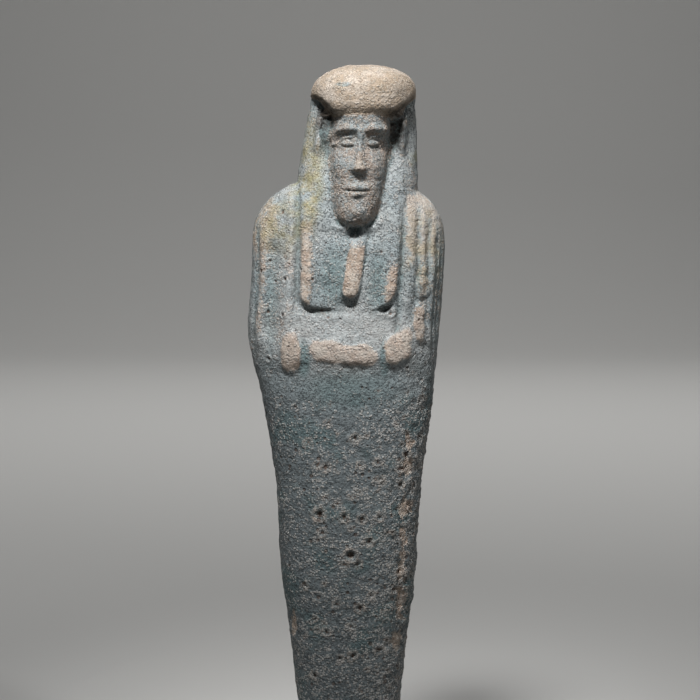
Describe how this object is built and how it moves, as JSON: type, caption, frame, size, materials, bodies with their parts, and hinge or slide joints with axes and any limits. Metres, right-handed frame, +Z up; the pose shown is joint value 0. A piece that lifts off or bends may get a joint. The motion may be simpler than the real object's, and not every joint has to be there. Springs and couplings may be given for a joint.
{
  "type": "ushabti figurine",
  "caption": "Small moulded faience tomb figure: mummiform body with long wig, false beard and crossed arms, on a low foot base with a plain back pillar.",
  "frame": {"origin": "on the figure's upright axis, at the flat underside of its foot base", "axes": "+Z up, from the feet to the crown; the face looks along -Y and the back pillar faces +Y; +X is towards the figure's own left hand"},
  "size_m": [0.0256, 0.0162, 0.104],
  "materials": {
    "faience": "worn pale blue-grey faience glaze, pitted and chalky, buff where the glaze is rubbed off"
  },
  "bodies": {
    "root": {"ushabti_figure": "faience"}
  },
  "joints": []
}
